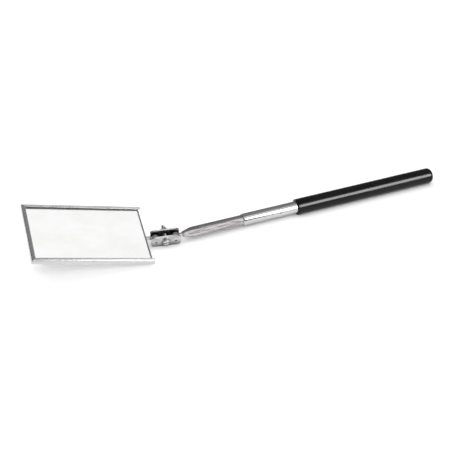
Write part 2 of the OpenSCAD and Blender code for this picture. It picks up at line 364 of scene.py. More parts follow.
def painted_recess_shade(mat, unshaded, reach_mm, dark=(0.035, 0.033, 0.034)):
    """The colour, darkened where other surfaces stand close by: painted shade in recesses and
    between parts, by an ambient-occlusion node.
    """
    nearby = mat.node_tree.nodes.new("ShaderNodeAmbientOcclusion")
    nearby.samples = 8
    nearby.inputs["Distance"].default_value = reach_mm * MM
    return blended(mat, ranged(mat, nearby.outputs["AO"], 0.2, 0.72, 0.0, 1.0), dark, unshaded)


def metal(name, dark, light, size, rough, bump_mm, painted_shade_reach=0.0):
    """A plated metal: its colour and roughness vary over a grain of that size. Given a reach, its
    colour also gets painted shade in recesses and between parts.
    """
    mat = new_material(name, Metallic=1.0)
    cloud = grain(mat, [s * 6 for s in size], 2.0)
    fine = grain(mat, size, 4.0)
    tone = maths(mat, maths(mat, cloud, 0.55, "MULTIPLY"), maths(mat, fine, 0.45, "MULTIPLY"))
    colour = blended(mat, ranged(mat, tone, 0.36, 0.64, 0.0, 1.0), dark, light)
    # Painted shade: the colour darkens where other surfaces stand within the reach, by an
    # ambient-occlusion node
    if painted_shade_reach:
        colour = painted_recess_shade(mat, colour, painted_shade_reach)
    wire(mat, colour, "Base Color")
    wire(mat, ranged(mat, tone, 0.34, 0.66, rough[1], rough[0]), "Roughness")
    bumped(mat, fine, bump_mm)
    return mat


def bright_chrome():
    return metal("polished_chrome", (0.53, 0.523, 0.53), (0.63, 0.622, 0.63),
                 (9.0, 0.5, 0.5), (0.07, 0.12), 0.0008)


def satin_chrome():
    """Satin chrome, streaked along the tube where it slides."""
    mat = new_material("satin_chrome", Metallic=1.0)
    streaks = grain(mat, (11.0, 0.6, 0.6), 3.0, 0.6)
    hairs = grain(mat, (14.0, 0.09, 0.09), 2.0)
    cloud = grain(mat, (22.0, 4.0, 4.0), 2.0)
    tone = maths(mat, maths(mat, streaks, 0.75, "MULTIPLY"), maths(mat, cloud, 0.25, "MULTIPLY"))
    wire(mat, blended(mat, ranged(mat, tone, 0.4, 0.6, 0.0, 1.0),
                      (0.27, 0.256, 0.264), (0.6, 0.575, 0.59)), "Base Color")
    wire(mat, ranged(mat, tone, 0.36, 0.64, 0.36, 0.24), "Roughness")
    bumped(mat, maths(mat, streaks, hairs), 0.004)
    return mat


def case_steel():
    return metal("nickel_sheet", (0.55, 0.545, 0.548), (0.64, 0.635, 0.638),
                 (9.0, 2.2, 2.2), (0.22, 0.29), 0.0012)


# This metal and the next two get painted shade in their recesses: the clamp's plates, the rods and
# balls, and the screw, nut, washer and rivets
def clamp_steel():
    return metal("satin_nickel", (0.44, 0.43, 0.435), (0.66, 0.65, 0.655),
                 (0.9, 0.6, 0.6), (0.24, 0.38), 0.006, painted_shade_reach=9.0)


def stud_steel():
    return metal("turned_steel", (0.42, 0.42, 0.43), (0.62, 0.62, 0.63),
                 (0.12, 1.4, 1.4), (0.2, 0.34), 0.003, painted_shade_reach=5.0)


def hardware():
    return metal("zinc_plate", (0.5, 0.505, 0.515), (0.68, 0.685, 0.695),
                 (0.35, 0.35, 0.35), (0.22, 0.36), 0.003, painted_shade_reach=2.0)


def sleeve_brass():
    return metal("rolled_brass", (0.6, 0.43, 0.18), (0.74, 0.57, 0.28),
                 (2.5, 0.3, 0.3), (0.25, 0.4), 0.003)


def pad_card():
    mat = new_material("grey_card", Roughness=0.9)
    fibres = grain(mat, (0.9, 0.25, 0.2), 5.0, 0.65, 1.2)
    wire(mat, blended(mat, ranged(mat, fibres, 0.35, 0.65, 0.0, 1.0),
                      (0.42, 0.35, 0.26), (0.6, 0.52, 0.4)), "Base Color")
    bumped(mat, fibres, 0.05)
    return mat


def grip_vinyl():
    """Glossy dipped vinyl: a faint ripple from dipping, fine dust and rubbed patches."""
    mat = new_material("black_vinyl", IOR=1.28)
    ripple = grain(mat, (9.0, 2.4, 2.4), 2.0)
    pores = grain(mat, (0.35, 0.35, 0.35), 3.0)
    rubbed = grain(mat, (16.0, 5.0, 5.0), 3.0)
    wire(mat, blended(mat, ranged(mat, rubbed, 0.4, 0.7, 0.0, 1.0),
                      (0.002, 0.0019, 0.0023), (0.0042, 0.0038, 0.0048)), "Base Color")
    wire(mat, ranged(mat, maths(mat, rubbed, pores), 0.8, 1.25, 0.17, 0.27), "Roughness")
    bumped(mat, maths(mat, ripple, maths(mat, pores, 0.08, "MULTIPLY")), 0.012)
    return mat


def glass():
    """Clear float glass, with a trace of handling on its face."""
    mat = new_material("float_glass", Transmission_Weight=1.0, IOR=1.52)
    smear = grain(mat, (18.0, 7.0, 7.0), 3.0, 0.5, 0.8)
    wire(mat, blended(mat, ranged(mat, smear, 0.3, 0.7, 0.0, 1.0),
                      (0.97, 0.974, 0.97), (0.988, 0.99, 0.987)), "Base Color")
    wire(mat, ranged(mat, smear, 0.55, 0.85, 0.0, 0.015), "Roughness")
    return mat


def silvering():
    """Silver coat, a little warmer and duller in patches."""
    mat = new_material("silver_coat", Metallic=1.0)
    age = grain(mat, (26.0, 18.0, 18.0), 3.0)
    wire(mat, blended(mat, ranged(mat, age, 0.35, 0.65, 0.0, 1.0),
                      (0.93, 0.925, 0.915), (0.965, 0.965, 0.965)), "Base Color")
    wire(mat, ranged(mat, age, 0.4, 0.75, 0.0, 0.03), "Roughness")
    return mat


MATERIALS = {
    "glass": glass(), "silvering": silvering(), "pad": pad_card(),
    "case_steel": case_steel(), "clamp_steel": clamp_steel(), "stud_steel": stud_steel(),
    "hardware": hardware(), "satin_chrome": satin_chrome(), "bright_chrome": bright_chrome(),
    "sleeve_brass": sleeve_brass(), "grip_vinyl": grip_vinyl(),
}


def make(name, body, nodes, slot, place, shells, **options):
    return piece(name, body, nodes, slot, MATERIALS[slot], place, shells, **options)


# ---- handle ----


def build_grip():
    """The dipped sleeve: a closed, rounded end, and a bore for the outer tube."""
    wave = 0.012

    def ripple(x, a, r):
        """Slow waves inwards, on the outside only."""
        spot = Vector((x * 0.11, 1.4 * math.cos(a), 1.4 * math.sin(a)))
        return r + (wave * noise.noise(spot) - wave if r > 5.5 else 0.0)

    dome_x = X_GRIP_END - GRIP_END_ROUND
    mouth_x = X_GRIP + GRIP_MOUTH_ROUND
    profile = [(X_GRIP_END, 0.0), (X_GRIP_END, 1.5)]
    profile += arc(dome_x, GRIP_R - GRIP_END_ROUND, GRIP_END_ROUND, 0, 90, 14)
    profile += [(x, GRIP_R) for x in spread(dome_x, mouth_x, 2.0)[1:-1]]
    profile += arc(mouth_x, GRIP_R - GRIP_MOUTH_ROUND, GRIP_MOUTH_ROUND, 90, 180, 6)
    profile += arc(X_GRIP + 0.3, OUTER_R + 0.3, 0.3, 180, 270, 4)
    profile += [(X_GRIP_END - GRIP_END_WALL, OUTER_R), (X_GRIP_END - GRIP_END_WALL, 0.0)]
    make("grip_sleeve", "handle", ["grip"], "grip_vinyl", HANDLE, [lathe(profile, shape=ripple)])


def dimpled(depth):
    """A shape for ring_at that dips by depth, smoothly, at each dimple of the ring."""
    def shape(x, a, r):
        along = x - (X_MOUTH + DIMPLE_BACK)
        if abs(along) > DENT_REACH:
            return r
        turn = 360 / DIMPLES
        # Angles of a ring run from +Y towards +Z, and a dimple's from +Z towards -Y
        off = (math.degrees(a) - 90 - DIMPLE_TURN + turn / 2) % turn - turn / 2
        far = math.hypot(along, math.radians(off) * OUTER_R)
        if far > DENT_REACH:
            return r
        return r - depth * (0.5 + 0.5 * math.cos(math.pi * far / DENT_REACH)) ** 1.6
    return shape


def build_outer_tube():
    """Its outside dips at each dimple, and its bore bulges inwards there by a little less."""
    x_dimple = X_MOUTH + DIMPLE_BACK
    bore = OUTER_R - OUTER_WALL
    lip_end = X_MOUTH + OUTER_LIP_LEN
    fine = spread(x_dimple - DENT_REACH, x_dimple + DENT_REACH, 0.16)
    outside = arc(X_MOUTH + 0.35, OUTER_R - 0.35, 0.35, 180, 90, 6)
    outside += [(x, OUTER_R) for x in spread(X_MOUTH + 1.5, fine[0] - 1, 4.0)]
    outside += [(x, OUTER_R) for x in fine]
    outside += [(x, OUTER_R) for x in spread(fine[-1] + 1, X_OUTER_END, 8.0)]
    inside = [(X_OUTER_END, bore)] + [(x, bore) for x in reversed(fine)]
    inside += [(lip_end, bore), (lip_end - 0.3, OUTER_LIP_BORE)]
    inside += arc(X_MOUTH + 0.12, OUTER_LIP_BORE + 0.12, 0.12, 270, 180, 3)

    dent, bump = dimpled(DENT_DEPTH), dimpled(BUMP_HEIGHT)
    rings = [ring_at(x, r, 192, dent) for x, r in outside]
    rings += [ring_at(x, r, 192, bump) for x, r in inside]
    make("outer_tube_shell", "handle", ["outer_tube"], "bright_chrome", HANDLE,
         [skin(rings, loop=True)], sharp=50)


def build_inner_tube():
    """Drawn from the ball's centre. Its nose keeps faint flutes from being drawn down."""
    bore = INNER_R - INNER_WALL
    to_ball = -TUBE_BALL.x / MM
    groove, groove_end, end = (x + to_ball for x in (GROOVE_X, GROOVE_END_X, INNER_END_X))

    def flutes(x, a, r):
        t = (x - NOSE_START) / (NOSE_FULL - NOSE_START)
        if not 0 < t < 1.15:
            return r
        fade = math.sin(math.pi * t / 1.15) ** 2
        wander = 0.5 * noise.noise(Vector((0.3 * x, math.cos(a), math.sin(a))))
        return r + 0.035 * fade * (math.cos(9 * a + 3 * wander) - 1) + 0.02 * fade * wander

    steps = 26
    nose = [(NOSE_START + (NOSE_FULL - NOSE_START) * i / steps,
             NOSE_TIP_R + (INNER_R - NOSE_TIP_R) * math.sin(math.pi / 2 * i / steps))
            for i in range(steps + 1)]
    outside = arc(NOSE_START + 0.2, NOSE_TIP_R - 0.2, 0.2, 180, 100, 4) + nose[1:]
    outside += [(x, INNER_R) for x in spread(NOSE_FULL + 1.0, groove, 5.0)]
    outside += [(groove, GROOVE_R), (groove_end, GROOVE_R), (groove_end, INNER_R)]
    outside += [(end - 0.2, INNER_R), (end, INNER_R - 0.2)]
    narrow = GROOVE_R - GROOVE_WALL
    inside = [(end, narrow), (groove - GROOVE_WALL, narrow), (groove - 2 * GROOVE_WALL, bore)]
    inside += [(NOSE_FULL + 2, bore), (NOSE_BORE_END, STUD_R + 0.01), (NOSE_START, STUD_R + 0.01)]
    make("inner_tube_shell", "inner_tube", ["inner_tube"], "satin_chrome", NOSE,
         [lathe(outside + inside, shape=flutes, loop=True)], sharp=40)


def rod_profile(r, end, sign=1):
    """A rod that starts with a hollow end on its ball and ends with a small chamfer."""
    hollow = [(math.sqrt(SOCKET_R**2 - q * q), q) for q in (0.0, r * 0.35, r * 0.7, r - 0.08)]
    start = math.sqrt(SOCKET_R**2 - r * r) + 0.05
    rod = [(start, r)] + [(x, r) for x in spread(start + 0.4, end - 0.3, 2.0)]
    return [(sign * x, q) for x, q in hollow + rod + [(end, r - 0.3), (end, 0.0)]]


def build_rods_and_balls():
    """Each ball is a piece of its own, and its rod starts a hair clear of it."""
    make("ball_stud_rod", "inner_tube", ["ball_stud"], "stud_steel", NOSE,
         [lathe(rod_profile(STUD_R, STUD_END), 64)])
    make("mirror_stem_rod", "mirror_stem", ["mirror_stem"], "stud_steel", HEAD,
         [lathe(rod_profile(STEM_R, STEM_TAIL, -1), 64)])
    globe = [(BALL_R * math.cos(a), BALL_R * abs(math.sin(a)))
             for a in (math.pi * i / 40 for i in range(41))]
    make("tube_ball_globe", "tube_ball", ["tube_ball"], "stud_steel", NOSE, [lathe(globe, 64)])
    make("mirror_ball_globe", "mirror_ball", ["mirror_ball"], "stud_steel", HEAD,
         [lathe(globe, 64)])


# ---- clamp ----


def plate_reach(centre, left, right, angle):
    """How far a ray from a hole's centre runs inside its cell of the plate."""
    c, s = math.cos(angle), math.sin(angle)
    half = PLATE_W / 2
    reach = [half / abs(s)] if abs(s) > 1e-9 else []
    if c > 1e-9:
        reach.append((right - centre) / c)
    elif c < -1e-9:
        reach.append((left - centre) / c)
    # Past each ball the plate's end is round
    if (centre == 0 and c > 0) or (centre == -BALL_SPACING and c < 0):
        reach.append(half)
    return min(reach)


def plate_angles(left_out, right_out):
    """Angles round a cell, with one on each of its corners."""
    half = PLATE_W / 2
    corner = math.degrees(math.atan2(half, BALL_SPACING / 4))
    crop = math.degrees(math.acos(PLATE_OVERHANG / half))
    right = [(0, crop, 12), (crop, 90, 12)] if right_out else [(0, corner, 14), (corner, 90, 9)]
    left = [(90, 180 - crop, 12), (180 - crop, 180, 12)] if left_out else [
        (90, 180 - corner, 9), (180 - corner, 180, 14)]
    upper = [a + (b - a) * i / n for a, b, n in right + left for i in range(n)]
    return [math.radians(a) for a in upper + [180.0] + [360 - u for u in upper[:0:-1]]]


def outer_face(ball_gap):
    """Height of the plate's outside at a distance from a ball's axis: a pressed dish."""
    flat = PLATE_IN + PLATE_T
    t = max(0.0, 1 - (ball_gap / DISH_BASE_R) ** 2)
    return flat + DISH_RISE * t * t * (3 - 2 * t) ** 0.5


def inner_face(ball_gap):
    """Height of the plate's inside: flat, with the socket's sphere hollowed out of it."""
    hollow = math.sqrt(max(SOCKET_R**2 - ball_gap**2, 0.0))
    return max(PLATE_IN, hollow)


def plate_cell(centre, left, right, hole, side, dished):
    """The part of a clamp plate round one of its holes, on one side of the clamp."""
    left_out, right_out = centre == -BALL_SPACING, centre == 0
    angles = plate_angles(left_out, right_out)
    shares = [0.0, 0.05, 0.11, 0.18, 0.26, 0.34, 0.42, 0.5, 0.58, 0.67, 0.77, 0.88, 1.0]
    off_dish = BALL_R * 9

    def face_rings(height):
        rings = []
        for share in shares:
            gaps = [hole + (plate_reach(centre, left, right, a) - hole) * share for a in angles]
            rings.append([(centre + gap * math.cos(a), side * height(gap if dished else off_dish),
                           gap * math.sin(a)) for gap, a in zip(gaps, angles)])
        return rings

    outer, inner = face_rings(outer_face), face_rings(inner_face)
    hole_wall = skin([outer[0], inner[0]])
    joins = [x for x, out in ((left, left_out), (right, right_out)) if not out]
    return [skin(outer), skin(inner), hole_wall, plate_edge(outer[-1], inner[-1], joins)]


def plate_edge(edge_out, edge_in, joins):
    """The plate's edge round a cell, left out where the cell joins the next one."""
    verts, faces = [], []
    for k in range(len(edge_out)):
        n = (k + 1) % len(edge_out)
        if any(abs(edge_out[k][0] - x) < 1e-6 and abs(edge_out[n][0] - x) < 1e-6 for x in joins):
            continue
        start = len(verts)
        verts += [edge_out[k], edge_out[n], edge_in[n], edge_in[k]]
        faces.append([start, start + 1, start + 2, start + 3])
    return verts, faces


def build_clamp_plates():
    """Two plates alike, each made of a cell round each ball's socket and one round the screw."""
    quarter = BALL_SPACING / 4
    ends = (-BALL_SPACING - PLATE_OVERHANG, -3 * quarter, -quarter, PLATE_OVERHANG)
    holes = ((-BALL_SPACING, DISH_HOLE_R, True), (-BALL_SPACING / 2, SCREW_HOLE_R, False),
             (0, DISH_HOLE_R, True))
    for name, node, side in (("clamp_front_stamping", "clamp_plate_front", -1),
                             ("clamp_rear_stamping", "clamp_plate_rear", 1)):
        shells = []
        for (centre, hole, dished), left, right in zip(holes, ends[:-1], ends[1:]):
            shells += plate_cell(centre, left, right, hole, side, dished)
        make(name, "clamp", [node], "clamp_steel", CLAMP, shells, sharp=45, bevel=0.26)


def thread_radius(x, a, r):
    """The crest and root of a V thread along X, fading in under the head."""
    start = -PLATE_IN - PLATE_T
    if x < start + 0.1 or r > SCREW_R + 1e-6:
        return r
    turn = (x / THREAD_PITCH - a / (2 * math.pi)) % 1.0
    tooth = min(1.0, max(0.0, 1.25 * (1 - abs(2 * turn - 1)) - 0.06))
    fade = min(1.0, (x - start) / 0.8)
    return min(r, SCREW_R - THREAD_DEPTH * fade * (1 - tooth))


def build_screw():
    """A slotted pan head and a threaded shank, turned as one profile from the head's top."""
    under = -PLATE_IN - PLATE_T
    top = under - HEAD_H
    profile = [(top, 0.0), (top, 0.8), (top, HEAD_R - HEAD_ROUND - 0.1)]
    profile += arc(top + HEAD_ROUND, HEAD_R - HEAD_ROUND, HEAD_ROUND, 180, 90, 8)
    profile += [(under - 0.1, HEAD_R), (under, HEAD_R - 0.1), (under, SCREW_R)]
    profile += [(x, SCREW_R) for x in spread(under + 0.05, SCREW_END - 0.4, THREAD_PITCH / 9)]
    profile += [(SCREW_END - 0.2, SCREW_R - 0.18), (SCREW_END, SCREW_R - 0.42)]
    profile += [(SCREW_END, 0.5), (SCREW_END, 0.0)]
    screw = make("clamp_screw_threaded", "clamp_screw", ["clamp_screw"], "hardware", SCREW,
                 [lathe(profile, 60, shape=thread_radius)], sharp=40)

    past = 1.0
    cut_slot(screw, SCREW,
             slab(top - past, top + SLOT_DEPTH, HEAD_R + past, -SLOT_W / 2, SLOT_W / 2))


def cut_slot(obj, place, shell):
    """Cuts a shell out of a piece for good, with a boolean that is then applied."""
    cutter = mesh_object("slot_cutter", place, [shell])
    cut = obj.modifiers.new("cut", "BOOLEAN")
    cut.operation, cut.solver, cut.object = "DIFFERENCE", "EXACT", cutter
    bpy.context.view_layer.update()
    depsgraph = bpy.context.evaluated_depsgraph_get()
    result = bpy.data.meshes.new_from_object(obj.evaluated_get(depsgraph))
    obj.modifiers.remove(cut)
    obj.data = result
    result.name = obj.name
    result.set_sharp_from_angle(angle=math.radians(40))
    bpy.data.objects.remove(cutter)


def build_nut():
    """A hexagonal nut whose corners are chamfered off on both faces."""
    low = PLATE_IN + PLATE_T + WASHER_T
    high = low + NUT_H
    flat, slope, sink = NUT_FLATS / 2, math.tan(math.radians(30)), 0.2
    count, face_edge = 120, flat * 0.96

    def hex_ring(level, cut):
        """A ring round the hexagon, moved by cut times the depth of the chamfer there."""
        made = []
        for k in range(count):
            a = 2 * math.pi * k / count
            r = flat / math.cos(a % (math.pi / 3) - math.pi / 6)
            x = level + cut * max(0.0, r - face_edge) * slope
            made.append((x, r * math.cos(a), r * math.sin(a)))
        return made

    low_face = [(low + sink, SCREW_HOLE_R), (low, SCREW_HOLE_R + sink), (low, flat * 0.5),
                (low, face_edge)]
    high_face = [(high, face_edge), (high, flat * 0.7), (high, SCREW_HOLE_R + sink),
                 (high - sink, SCREW_HOLE_R)]
    rings = [ring_at(x, r, count) for x, r in low_face]
    rings += [hex_ring(low, 1), hex_ring((low + high) / 2, 0), hex_ring(high, -1)]
    rings += [ring_at(x, r, count) for x, r in high_face]
    make("clamp_hex_nut", "clamp", ["clamp_nut"], "hardware", SCREW, [skin(rings, loop=True)],
         sharp=22)


def build_washer():
    """A split washer, round-cornered in section, with its gap towards the tube's ball."""
    low, edge = PLATE_IN + PLATE_T, 0.1
    high = low + WASHER_T
    section = arc(low + edge, WASHER_R - edge, edge, 180, 90, 3)
    section += arc(high - edge, WASHER_R - edge, edge, 90, 0, 3)
    section += arc(high - edge, WASHER_HOLE_R + edge, edge, 0, -90, 3)
    section += arc(low + edge, WASHER_HOLE_R + edge, edge, -90, -180, 3)
    half_gap = math.asin(WASHER_SPLIT / 2 / WASHER_R)
    tube_side = -math.pi / 2
    turn = [tube_side + half_gap + (2 * math.pi - 2 * half_gap) * k / 80 for k in range(81)]
    loops = [[(x, r * math.cos(a), r * math.sin(a)) for x, r in section] for a in turn]
    make("clamp_split_washer", "clamp", ["lock_washer"], "hardware", SCREW, [capped(loops)])


# ---- mirror head ----


def sheet_profile(centreline):
    """Both faces of a sheet about a centreline of (u, v, nu, nv), rounded at its end."""
    half = SHEET / 2
    outer = [(u + nu * half, v + nv * half) for u, v, nu, nv in centreline]
    inner = [(u - nu * half, v - nv * half) for u, v, nu, nv in centreline]
    u, v, nu, nv = centreline[-1]
    start = math.degrees(math.atan2(nv, nu))
    nose = arc(u, v, half, start, start - 180, 8)[1:-1]
    return outer, nose, inner


def fold(cu, cv, start, end, steps=7):
    """Centreline points round a fold whose outside has the case's radius."""
    r = CASE_ROUND - SHEET / 2
    points = []
    for i in range(steps + 1):
        a = math.radians(start + (end - start) * i / steps)
        points.append((cu + r * math.cos(a), cv + r * math.sin(a), math.cos(a), math.sin(a)))
    return points


def rail_section(spring):
    """
    Section of a case rail, its outside first: u inwards from the side, v up. The lip's inner
    edge stands up by spring degrees, since folded sheet springs back a little.
    """
    half = SHEET / 2
    turn = math.radians(spring)
    reach = LIP_W - half - CASE_ROUND
    top = CASE_T - CASE_ROUND * math.cos(turn) - (reach + half) * math.tan(turn) - 0.01
    line = [(LIP_W, half, 0, -1), (1.6, half, 0, -1)]
    line += fold(CASE_ROUND, CASE_ROUND, 270, 180)
    line += [(half, v, -1, 0) for v in (1.6, CASE_T / 2, 2.6)]
    line += fold(CASE_ROUND, top, 180, 90 + spring)
    u, v, nu, nv = line[-1]
    for share in (0.5, 1.0):
        line.append((u + reach * share * nv, v - reach * share * nu, nu, nv))
    outer, nose, inner = sheet_profile(line)
    return outer + nose + inner[::-1], len(outer)


def rail_station(side, s, u, v):
    """A point of the U of rails: side 0 and 2 are the long rails, 1 the far end's."""
    half = CASE_W / 2
    if side == 0:
        return (s, -half + u, Z_BACK + v)
    if side == 1:
        return (X_CASE + u, s, Z_BACK + v)
    return (s, half - u, Z_BACK + v)


def wobble(key, s, v):
    """Slow waves of a hand-folded sheet, on the folded part only."""
    if v < 1.2:
        return 0.0
    return -0.012 * (0.5 + 0.5 * noise.noise(Vector((s * 0.09, key * 7.3, v * 0.4))))


def straight_rail(side, section, stations):
    """Loops of a rail's section along its side."""
    return [[rail_station(side, s, u - wobble(side, s, v), v + wobble(side + 3, s, v))
             for u, v in section] for s in stations]


def mitre(section, far_side, along):
    """Three stations over a mitre: full height, the sunk seam, and full height."""
    seam, sink, half = 0.13, 0.14, CASE_W / 2
    made = []
    for step in (-1, 0, 1):
        loop = []
        for u, v in section:
            on_lip, on_side = v > CASE_T - 0.35, u < 0.35 and v > 0.6
            dip = sink if step == 0 else 0.0
            up = -dip if on_lip else 0.0
            inwards = dip * 0.7 if on_side else 0.0
            x_off = u + inwards + (seam if step == along else 0.0)
            y_off = u + inwards + (seam if step == -along else 0.0)
            y = half - y_off if far_side else -half + y_off
            loop.append((X_CASE + x_off, y, Z_BACK + v + up))
        made.append(loop)
    return made


def case_rails():
    """The folded rails as one shell, from one open end round both mitres to the other."""
    (long_lip, n), (end_lip, _), (corner, _) = (
        rail_section(spring) for spring in (LONG_LIP_SPRING, END_LIP_SPRING, MITRE_SPRING))
    half = CASE_W / 2
    long_side = spread(X_FLOOR_END, X_CASE + 5.0, 5.0)
    across = spread(-half + 5.0, half - 5.0, 5.0)
    loops = straight_rail(0, long_lip, [X_RAILS] + long_side) + mitre(corner, False, -1)
    loops += straight_rail(1, end_lip, across) + mitre(corner, True, 1)
    loops += straight_rail(2, long_lip, long_side[::-1] + [X_RAILS])
    verts, faces = skin(loops)
    # Rail ends: a strip of quads between the two faces of the sheet, and the lip's nose
    m = len(long_lip)
    for start in (0, len(verts) - m):
        for i in range(n - 1):
            faces.append([start + i, start + i + 1, start + m - 2 - i, start + m - 1 - i])
        faces.append([start + i for i in range(n - 1, m - n + 1)])
    return verts, faces


def case_floor():
    """The floor, which turns up into the low flange at the stem's end."""
    half_sheet = SHEET / 2
    bend = CASE_ROUND - half_sheet
    line = [(X_CASE + 1.2, half_sheet, 0, -1)]
    line += [(x, half_sheet, 0, -1) for x in spread(X_CASE + 12, X_FLOOR_END - 3, 12)]
    centre_x = X_FLOOR_END - CASE_ROUND
    for i in range(8):
        a = math.radians(-90 + 90 * i / 7)
        line.append((centre_x + bend * math.cos(a), CASE_ROUND + bend * math.sin(a),
                     math.cos(a), math.sin(a)))
    line.append((X_FLOOR_END - half_sheet, FLANGE_H - half_sheet, 1, 0))
    below, _, above = sheet_profile(line)
    # The floor's faces lie a hair inside the rails' faces, so that no two share a plane
    thin = 0.008
    floor_loop = [(x, min(max(v, thin), FLANGE_H)) for x, v in below]
    floor_loop += tip_points(line)
    floor_loop += [(x, max(v, SHEET - thin) if v < SHEET + thin else v) for x, v in above[::-1]]
    edge = CASE_W / 2 - SHEET - 0.4
    return capped([[(x, y, Z_BACK + v) for x, v in floor_loop]
                   for y in [-edge, -edge + 0.3] + spread(-edge + 6, edge - 6, 6)
                   + [edge - 0.3, edge]])


def build_case():
    make("mirror_case_folded", "mirror_head", ["mirror_case"], "case_steel", HEAD,
         [case_rails(), case_floor()], sharp=38)


def tip_points(line):
    """The rounded end of a sheet that ends upwards, from its outside to its inside."""
    u, v, _, _ = line[-1]
    return arc(u, v, SHEET / 2, 0, 180, 8)[1:-1]


def build_glass():
    x0 = X_CASE + SHEET + GLASS_EDGE_GAP
    x1 = X_FLOOR_END - SHEET - GLASS_EDGE_GAP
    half_w = CASE_W / 2 - SHEET - GLASS_EDGE_GAP
    top = Z_TOP - SHEET - GLASS_GAP
    under = top - GLASS_T
    sunk = 0.006
    make("mirror_glass_plate", "mirror_head", ["mirror_glass"], "glass", HEAD,
         [slab(x0, x1, half_w, under, top)], bevel=GLASS_BEVEL, bevel_steps=2)
    # The coat reaches a hair into the glass, so that no air gap lies between them
    make("mirror_silver_coat", "mirror_head", ["mirror_silvering"], "silvering", HEAD,
         [slab(x0 + 0.3, x1 - 0.3, half_w - 0.3, under - SILVER_T, under + sunk)])


def bracket_section(half):
    """The strap across the stem as (y, z): its outside from -y to +y, then its inside."""
    hump_in = STEM_R + 0.05
    hump_out, fillet, edge = hump_in + BRACKET_T, 0.45, 0.18
    low = Z_BACK - BRACKET_T
    side = [(half * t, low) for t in (0.9, 0.75, 0.6, 0.45)]
    side = arc(half - edge, low + edge, edge, 0, -90, 3) + side
    side += arc(hump_out + fillet, low - fillet, fillet, 90, 180, 6)
    side += arc(0, 0, hump_out, 0, -90, 14)
    outside = [(-y, z) for y, z in side] + side[-2::-1]
    inside = [(half, Z_BACK), (hump_in, Z_BACK)] + arc(0, 0, hump_in, 0, -180, 20)
    return outside + inside + [(-hump_in, Z_BACK), (-half, Z_BACK)]


def build_bracket():
    """The strap's sections along the stem, narrower at its round corners."""
    x_end = X_FLOOR_END - BRACKET_INSET
    x_start = x_end - BRACKET_LEN
    corner = [BRACKET_ROUND * (1 - math.cos(math.pi / 2 * i / 8)) for i in range(9)]
    stations = [x_start + c for c in corner] + spread(x_start + 3, x_end - 3, 2)
    stations += [x_end - c for c in corner[::-1]]
    loops = []
    for x in stations:
        past = BRACKET_ROUND - min(x - x_start, x_end - x, BRACKET_ROUND)
        cut = BRACKET_ROUND - math.sqrt(max(0.0, BRACKET_ROUND**2 - past * past))
        loops.append([(x, y, z) for y, z in bracket_section(BRACKET_W / 2 - cut)])
    make("stem_bracket_strap", "mirror_head", ["stem_bracket"], "case_steel", HEAD,
         [capped(loops)], sharp=45)


def build_rivets():
    """Domed heads with a small flat rim, on the strap's four corners."""
    x_mid = X_FLOOR_END - BRACKET_INSET - BRACKET_LEN / 2
    under_strap = Z_BACK - BRACKET_T
    profile = [(-BRACKET_T, 0.0), (-BRACKET_T, 0.8), (0.0, 0.8), (0.0, RIVET_R), (0.12, RIVET_R),
               (0.32, 1.33), (0.48, 1.08), (0.61, 0.72), (0.68, 0.36), (RIVET_HEAD_H, 0.0)]
    verts, faces = lathe(profile, 40)
    shells = [([(x_mid + sx * RIVET_X + y, sy * RIVET_Y + z, under_strap - h) for h, y, z in verts],
               faces) for sx in (-1, 1) for sy in (-1, 1)]
    make("bracket_rivet_heads", "mirror_head", ["bracket_rivets"], "hardware", HEAD, shells)


def dress_cad_nodes():
    """Hidden parts keep their CAD meshes, and get their materials here."""
    for node, slot in (("backing_pad", "pad"), ("friction_sleeve", "sleeve_brass")):
        obj = frame["nodes"][node]
        obj.data.materials.clear()
        obj.data.materials.append(MATERIALS[slot])


# ---- studio ----

# Light that each panel gives off, where the floor at full light gives off about 1
OVERHEAD, FLOOR_FILL, KEY, GRIP_KEY = 1.5, 12.0, 8.0, 26.0
SATIN_CARD, CHROME_CARD, CLAMP_CARD, MIRROR_CARD = 0.95, 0.65, 1.0, 0.72
CASE_CARD, LIP_CARD, UNDER_CARD = 1.9, 1.0, 1.0


def faded_out(mat, near, far):
    """
    Fades the floor out between two distances from the object, so that its edge never shows, and
    lets a camera under the floor see the object's underside.
    """
    nodes, links = mat.node_tree.nodes, mat.node_tree.links
    coords = nodes.new("ShaderNodeTexCoord")
    length = nodes.new("ShaderNodeVectorMath")
    length.operation = "LENGTH"
    links.new(coords.outputs["Object"], length.inputs[0])
    fade = ranged(mat, length.outputs["Value"], near, far, 0.0, 1.0)
    side = nodes.new("ShaderNodeNewGeometry")
    clear = nodes.new("ShaderNodeBsdfTransparent")
    mix = nodes.new("ShaderNodeMixShader")
    links.new(maths(mat, fade, side.outputs["Backfacing"], "MAXIMUM"), mix.inputs[0])
    links.new(shader_of(mat).outputs[0], mix.inputs[1])
    links.new(clear.outputs[0], mix.inputs[2])
    links.new(mix.outputs[0], nodes["Material Output"].inputs["Surface"])


def build_floor():
    half = 1.3
    z = cad_box[0].z
    mesh = bpy.data.meshes.new("studio_floor")
    mesh.from_pydata([(-half, -half, z), (half, -half, z), (half, half, z), (-half, half, z)],
                     [], [(0, 1, 2, 3)])
    mat = new_material("studio_paper", Roughness=1.0)
    shader_of(mat).inputs["Specular IOR Level"].default_value = 0.0
    paper = grain(mat, (40.0, 40.0, 40.0), 2.0)
    wire(mat, blended(mat, paper, (0.895, 0.895, 0.895), (0.905, 0.905, 0.905)), "Base Color")
    faded_out(mat, 0.6, 1.2)
    mesh.materials.append(mat)
    floor = bpy.data.objects.new("studio_floor", mesh)
    bpy.context.scene.collection.objects.link(floor)
    floor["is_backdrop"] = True


def collected(name, objects):
    group = bpy.data.collections.new(name)
    for obj in dict.fromkeys(objects):
        group.objects.link(obj)
    return group


